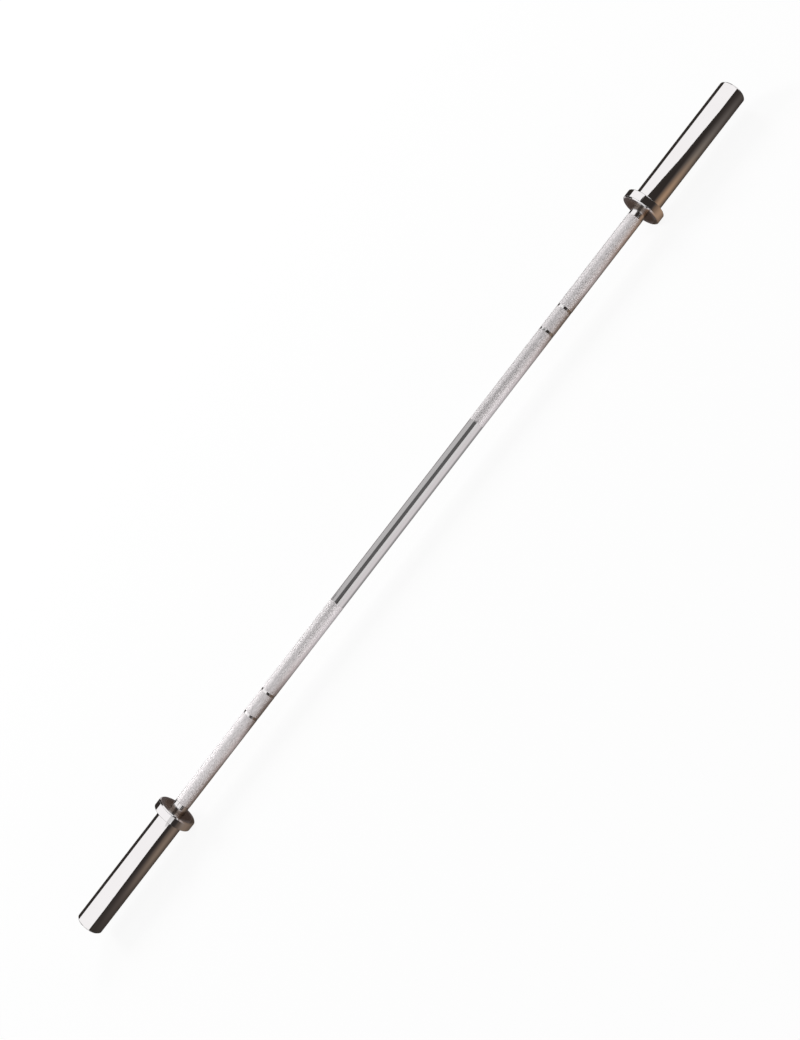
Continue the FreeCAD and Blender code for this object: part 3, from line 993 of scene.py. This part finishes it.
shaft.data.materials.append(shaft_chrome)
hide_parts("shaft")
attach(shaft, "shaft")
print(shaft.name, len(shaft.data.polygons), "faces")

# %% [markdown]
# ## Knurl
#
# The knurl carries the same plating, over thousands of small raised diamonds. Hands rub their crests
# bright, and the grooves are darker, partly from dull oxide and partly as painted shade. A texture could
# hold this, but it follows from one number that the shader can measure, the distance to the bar's axis.

# %% Knurl finish
KNURL_ROOT_RADIUS = 14.07 * MM
KNURL_CREST_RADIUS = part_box("shaft")[1].z
GROOVE_OXIDE_AND_SHADE = (0.80, 0.775, 0.782)
CREST_CHROME = (0.875, 0.851, 0.859)
KNURL_GRAIN_DEPTH = 0.004 * MM

knurl_chrome = new_finish("knurl chrome")
crest_share = remap(
    knurl_chrome, from_axis(knurl_chrome), span=(KNURL_ROOT_RADIUS, KNURL_CREST_RADIUS), to=(0.0, 1.0))
grip_wear = remap(knurl_chrome, noise(knurl_chrome, scale=26.0, detail=4.0), span=(0.35, 0.7), to=(0.85, 1.0))
crest_wear_and_shade = combine(knurl_chrome, "MULTIPLY", crest_share, grip_wear)
# Darker grooves: partly dull oxide, partly painted shade.
tint(knurl_chrome, crest_wear_and_shade, GROOVE_OXIDE_AND_SHADE, CREST_CHROME)
set_roughness(knurl_chrome, combine(
    knurl_chrome, "SUBTRACT",
    remap(knurl_chrome, noise(knurl_chrome, scale=800.0, detail=3.0), span=(0.3, 0.7), to=(0.40, 0.48)),
    remap(knurl_chrome, crest_wear_and_shade, span=(0.0, 1.0), to=(0.0, 0.10))))
add_bump(knurl_chrome, noise(knurl_chrome, scale=2500.0, detail=2.0), KNURL_GRAIN_DEPTH)
tell(knurl_chrome)

# %% [markdown]
# On the real bar two sets of crossing helical grooves leave the diamonds. A bump map could fake them, but
# not their outline against the light, and the exported mesh would be bare. A turned wall of small cells
# gives them directly: poking each cell joins its corners to its middle, and taking the old cell walls
# away leaves a diamond over each one. One inset with depth then raises them all, with sloping sides and a
# small flat crest.

# %% Roll the knurl
KNURL_STARTS = 86
DIAMOND_LENGTH = 1.75 * MM
DIAMOND_INSET = 0.34 * MM


def knurled_band(name, start_x, end_x):
    """A closed ring of steel with a field of raised diamonds on its outside."""
    rows = round(abs(end_x - start_x) / DIAMOND_LENGTH)
    bm = bmesh.new()
    ends = [bm.verts.new((x, 0.0, KNURL_ROOT_RADIUS)) for x in (start_x, end_x)]
    line = bm.edges.new(ends)
    bmesh.ops.subdivide_edges(bm, edges=[line], cuts=rows - 1)
    bmesh.ops.spin(bm, geom=bm.verts[:] + bm.edges[:], cent=(0.0, 0.0, 0.0), axis=along_bar,
                   angle=math.tau, steps=KNURL_STARTS, use_merge=True)
    bmesh.ops.recalc_face_normals(bm, faces=bm.faces[:])
    cell_walls = bm.edges[:]
    bmesh.ops.poke(bm, faces=bm.faces[:])
    inner_walls = [wall for wall in cell_walls if not wall.is_boundary]
    bmesh.ops.dissolve_edges(bm, edges=inner_walls, use_verts=False)
    bmesh.ops.inset_individual(bm, faces=bm.faces[:], thickness=DIAMOND_INSET,
                               depth=KNURL_CREST_RADIUS - KNURL_ROOT_RADIUS, use_even_offset=True)
    walls = bmesh.ops.extrude_edge_only(bm, edges=[e for e in bm.edges if e.is_boundary])
    inner_rims = [v for v in walls["geom"] if isinstance(v, bmesh.types.BMVert)]
    narrower = NECK_RADIUS / KNURL_ROOT_RADIUS
    bmesh.ops.scale(bm, verts=inner_rims, vec=(1.0, narrower, narrower))
    bmesh.ops.bridge_loops(bm, edges=[e for e in bm.edges if e.is_boundary])
    bmesh.ops.recalc_face_normals(bm, faces=bm.faces[:])
    return new_object(name, bm)


for side_name, side in SIDES.items():
    for band_name, (start_x, end_x) in knurl_bands.items():
        band = knurled_band(f"{side_name}_{band_name}_knurl", side * start_x, side * end_x)
        band.data.materials.append(knurl_chrome)
        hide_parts("shaft")
        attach(band, "shaft")
        print(band.name, len(band.data.polygons), "faces")

# %% [markdown]
# ## End caps
#
# A turned aluminium cap closes each sleeve. Only its rounded boss and the snap ring before it show, in a
# view on the end, but there they are the nearest thing to the eye. The cap could be a flat disc with a
# texture. Turning its real outline gives the rim its highlight, and the finish adds the same kind of fine
# circles as on the collars, only coarser.

# %% Turn the end caps
BOSS_RADIUS = 14.0 * MM
BOSS_CHAMFER = 0.8 * MM
BOSS_RIM = 2.2 * MM
DISH_RADIUS = 11.3 * MM
DISH_DEPTH = 0.5 * MM
CAP_FLANGE = 4.0 * MM
DULL_ALUMINIUM = (0.62, 0.62, 0.63)
BRIGHT_ALUMINIUM = (0.70, 0.70, 0.71)
TOOL_RING_SCALE = 2200.0
TOOL_RING_DEPTH = 0.012 * MM

cap_aluminium = new_finish("cap aluminium")
tool_rings = face_rings(cap_aluminium, TOOL_RING_SCALE)
cap_marks = noise(cap_aluminium, scale=180.0, detail=4.0)
tint(cap_aluminium, cap_marks, DULL_ALUMINIUM, BRIGHT_ALUMINIUM)
set_roughness(cap_aluminium, combine(
    cap_aluminium, "ADD",
    remap(cap_aluminium, tool_rings, span=(0.3, 0.7), to=(0.22, 0.36)),
    remap(cap_aluminium, cap_marks, span=(0.55, 0.8), to=(0.0, 0.12))))
add_bump(cap_aluminium, tool_rings, TOOL_RING_DEPTH)
tell(cap_aluminium)

cap_low, cap_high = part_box("right_end_cap")
cap_outline = [
    (cap_low.x, 0.0),
    (cap_low.x, cap_high.z),
    (cap_low.x + CAP_FLANGE, cap_high.z),
    (cap_low.x + CAP_FLANGE, BOSS_RADIUS),
    (cap_high.x - BOSS_CHAMFER, BOSS_RADIUS),
    (cap_high.x, BOSS_RADIUS - BOSS_CHAMFER),
    (cap_high.x, BOSS_RADIUS - BOSS_RIM),
    (cap_high.x - DISH_DEPTH, DISH_RADIUS),
    (cap_high.x - DISH_DEPTH, 0.0),
]
for side_name, side in SIDES.items():
    cap = turned_piece(f"{side_name}_cap", on_side(side, cap_outline), SHAFT_EDGE, closed=False)
    cap.data.materials.append(cap_aluminium)
    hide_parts(f"{side_name}_end_cap")
    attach(cap, f"{side_name}_sleeve")
    print(cap.name, len(cap.data.polygons), "faces")

# %% [markdown]
# ## What is inside
#
# Bushes, washers, snap rings and seals keep their CAD shape, which is already the real one, and only get
# finishes. The bushes are turned from bronze that holds oil in its pores, and the washers are ground
# flat. Flat colours would do while they are hidden, but the part can be taken apart, so each has its own
# wear.

# %% Finish the bushes and washers
PORE_BRONZE = (0.50, 0.32, 0.14)
BARE_BRONZE = (0.68, 0.47, 0.24)
PORE_DEPTH = 0.02 * MM
BUSH_RING_DEPTH = 0.008 * MM
DULL_WASHER = (0.50, 0.50, 0.51)
BRIGHT_WASHER = (0.60, 0.60, 0.61)
ACROSS_FACE = (1.0, 1.0, 0.02)
WASHER_GRIND_DEPTH = 0.006 * MM

bush_bronze = new_finish("bush bronze")
pores = noise(bush_bronze, scale=1500.0, detail=2.0)
bush_rings = noise(bush_bronze, scale=1100.0, stretch=AROUND, detail=2.0)
tint(bush_bronze, pores, PORE_BRONZE, BARE_BRONZE)
set_roughness(bush_bronze, remap(bush_bronze, bush_rings, span=(0.3, 0.7), to=(0.28, 0.46)))
add_bump(bush_bronze, pores, PORE_DEPTH)
add_bump(bush_bronze, bush_rings, BUSH_RING_DEPTH)
tell(bush_bronze)

washer_steel = new_finish("washer steel")
grinding = noise(washer_steel, scale=700.0, stretch=ACROSS_FACE, detail=3.0)
tint(washer_steel, grinding, DULL_WASHER, BRIGHT_WASHER)
set_roughness(washer_steel, remap(washer_steel, grinding, span=(0.3, 0.7), to=(0.22, 0.4)))
add_bump(washer_steel, grinding, WASHER_GRIND_DEPTH)
tell(washer_steel)

# %% [markdown]
# The snap rings are stamped from spring steel that is darkened against rust and rubbed where tools grip
# it. The seal is soft black rubber with a bloom of dust. The record names the material of every piece, so
# one loop can hand the four finishes out. Doing it piece by piece would take sixteen lines and miss one
# sooner or later.

# %% Finish the snap rings and seals
BLACKED_STEEL = (0.16, 0.155, 0.15)
RUBBED_STEEL = (0.26, 0.25, 0.24)
BLOOM_DEPTH = 0.01 * MM
BARE_RUBBER = (0.022, 0.022, 0.023)
DUSTY_RUBBER = (0.05, 0.048, 0.046)
DUST_DEPTH = 0.02 * MM

spring_steel = new_finish("spring steel")
bloom = noise(spring_steel, scale=260.0, detail=4.0)
rubbed = noise(spring_steel, scale=40.0, detail=3.0)
tint(spring_steel, rubbed, BLACKED_STEEL, RUBBED_STEEL)
set_roughness(spring_steel, remap(spring_steel, bloom, span=(0.3, 0.7), to=(0.38, 0.58)))
add_bump(spring_steel, bloom, BLOOM_DEPTH)
tell(spring_steel)

seal_rubber = new_finish("seal rubber", metallic=0.0)
dust = noise(seal_rubber, scale=320.0, detail=5.0)
tint(seal_rubber, dust, BARE_RUBBER, DUSTY_RUBBER)
set_roughness(seal_rubber, remap(seal_rubber, dust, span=(0.3, 0.7), to=(0.6, 0.85)))
add_bump(seal_rubber, dust, DUST_DEPTH)
tell(seal_rubber)

INNER_FINISHES = {
    "bush_bronze": bush_bronze,
    "washer_steel": washer_steel,
    "spring_steel": spring_steel,
    "seal_rubber": seal_rubber,
}
finished = 0
for subpart in frame["record"]["subparts"]:
    finish = INNER_FINISHES.get(subpart["material_slot"])
    if finish:
        for finish_slot in frame["nodes"][subpart["node"]].material_slots:
            finish_slot.material = finish
        finished += 1
print("inner pieces finished:", finished)
